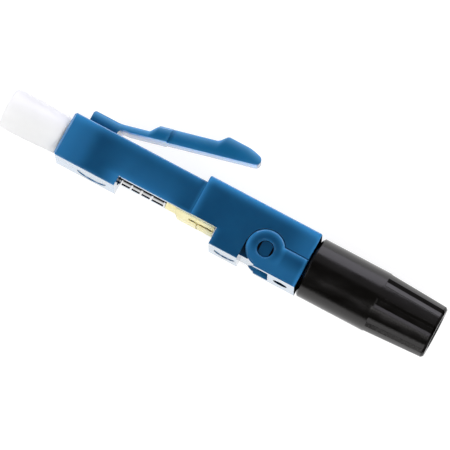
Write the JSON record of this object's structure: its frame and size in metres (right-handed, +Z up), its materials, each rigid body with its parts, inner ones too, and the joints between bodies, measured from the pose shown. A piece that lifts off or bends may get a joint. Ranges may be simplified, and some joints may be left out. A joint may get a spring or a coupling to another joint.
{
  "type": "lc fibre connector",
  "caption": "Field-assembly LC fibre connector: square plug with sprung latch, capped ferrule, brass splice clamp, hinged cable lid and fluted clamping nut.",
  "frame": {"origin": "on the fibre's axis at the front face of the plug", "axes": "+X from the ferrule towards the cable, +Y towards the latch, +Z up from the table it lies on"},
  "size_m": [0.0456, 0.0102, 0.006],
  "materials": {
    "blue_plastic": "satin moulded",
    "black_plastic": "satin moulded",
    "cap_plastic": "milky translucent",
    "zirconia": "polished",
    "flange_steel": "turned",
    "spring_steel": "bright drawn wire",
    "splice_brass": "bright",
    "groove_metal": "fine milled",
    "guide_plastic": "moulded",
    "fibre_glass": "drawn"
  },
  "bodies": {
    "connector": {"plug_housing": "blue_plastic", "splice_holder": "splice_brass", "v_groove_base": "groove_metal", "v_groove_cover": "groove_metal", "fibre_guide": "guide_plastic", "rear_body": "blue_plastic", "coil_spring": "spring_steel"},
    "floating_ferrule": {"ferrule": "zirconia", "ferrule_flange": "flange_steel", "fibre_stub": "fibre_glass"},
    "cap": {"dust_cap": "cap_plastic"},
    "latch": {"latch_lever": "blue_plastic"},
    "lid": {"clamp_lid": "blue_plastic"},
    "nut": {"grip_nut": "black_plastic"}
  },
  "joints": [
    {"name": "latch_press", "type": "hinge", "parent": "connector", "child": "latch", "pos_m": [0.00445, 0.00315, 0], "axis": [0, 0, -1], "range_deg": [0, 9], "stiffness_Nm_per_rad": 0.3},
    {"name": "ferrule_float", "type": "slide", "parent": "connector", "child": "floating_ferrule", "axis": [1, 0, 0], "range_m": [0, 0.0008], "stiffness_N_per_m": 2000, "deforming": ["coil_spring"]},
    {"name": "cap_pull", "type": "slide", "parent": "connector", "child": "cap", "axis": [-1, 0, 0], "range_m": [0, 0.008]},
    {"name": "lid_swing", "type": "hinge", "parent": "connector", "child": "lid", "pos_m": [0.0219, -0.00085, 0], "axis": [0, 0, -1], "range_deg": [0, 55]},
    {"name": "nut_unscrew", "type": "slide", "parent": "connector", "child": "nut", "axis": [1, 0, 0], "range_m": [0, 0.007]}
  ]
}
